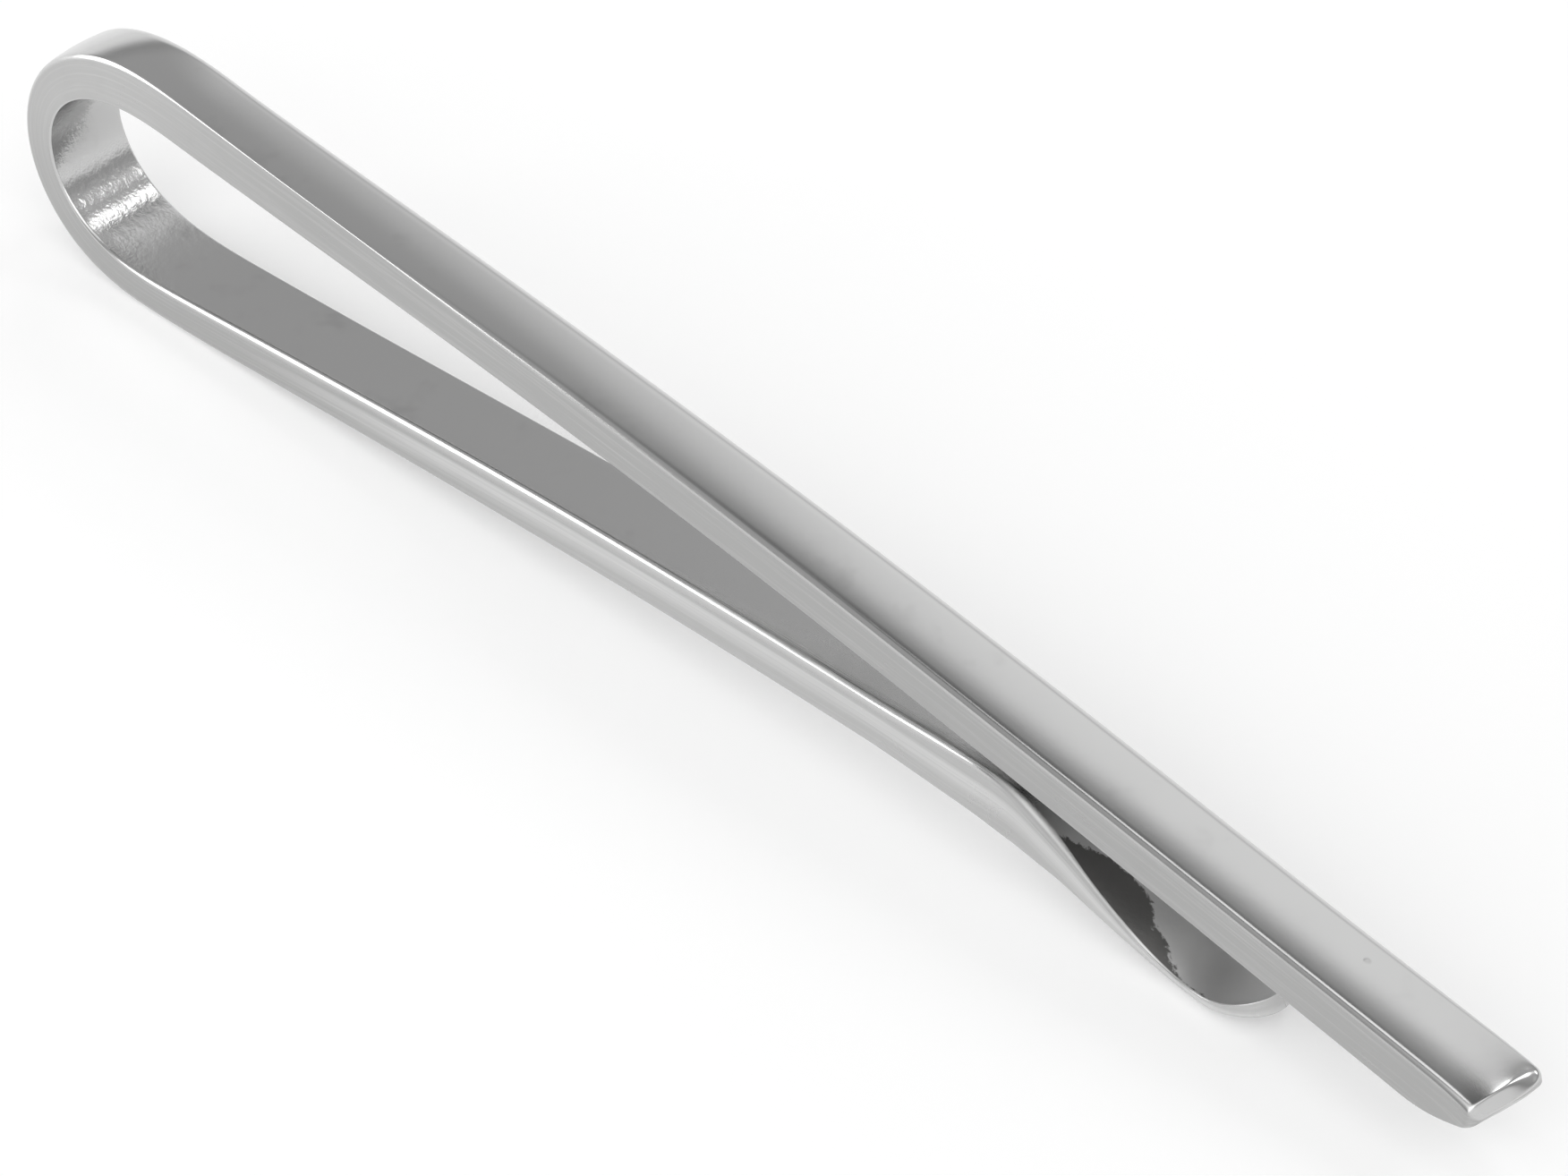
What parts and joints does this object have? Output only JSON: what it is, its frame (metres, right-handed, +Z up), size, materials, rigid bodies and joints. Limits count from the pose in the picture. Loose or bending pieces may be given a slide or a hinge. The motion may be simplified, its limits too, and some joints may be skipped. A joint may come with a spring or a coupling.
{
  "type": "tie clip",
  "caption": "Slim hairpin tie clip: one polished metal strip with a crowned front bar, a sprung bow, and a back leg with a grip crest and a turned-down toe.",
  "frame": {"origin": "under the middle of the clip, on the table that its bow and its toe stand on", "axes": "+X from the bow to the tip of the bar, +Y across the strip, +Z up, out of the bar's crowned face"},
  "size_m": [0.0608, 0.0028, 0.0094],
  "materials": {
    "polished_silver": "polished, with fine wear and a few pits"
  },
  "bodies": {
    "leg": {"bow_back": "polished_silver", "bow_bottom": "polished_silver", "spring_leg": "polished_silver", "grip_crest": "polished_silver", "toe": "polished_silver"},
    "bar": {"bow_top": "polished_silver", "bar_root": "polished_silver", "front_bar": "polished_silver", "bar_tip": "polished_silver"}
  },
  "joints": [
    {"name": "bow_flex", "type": "hinge", "parent": "leg", "child": "bar", "pos_m": [-0.0283, 0, 0.00804], "axis": [0, -1, 0], "range_deg": [0, 5.6], "stiffness_Nm_per_rad": 1.13}
  ]
}
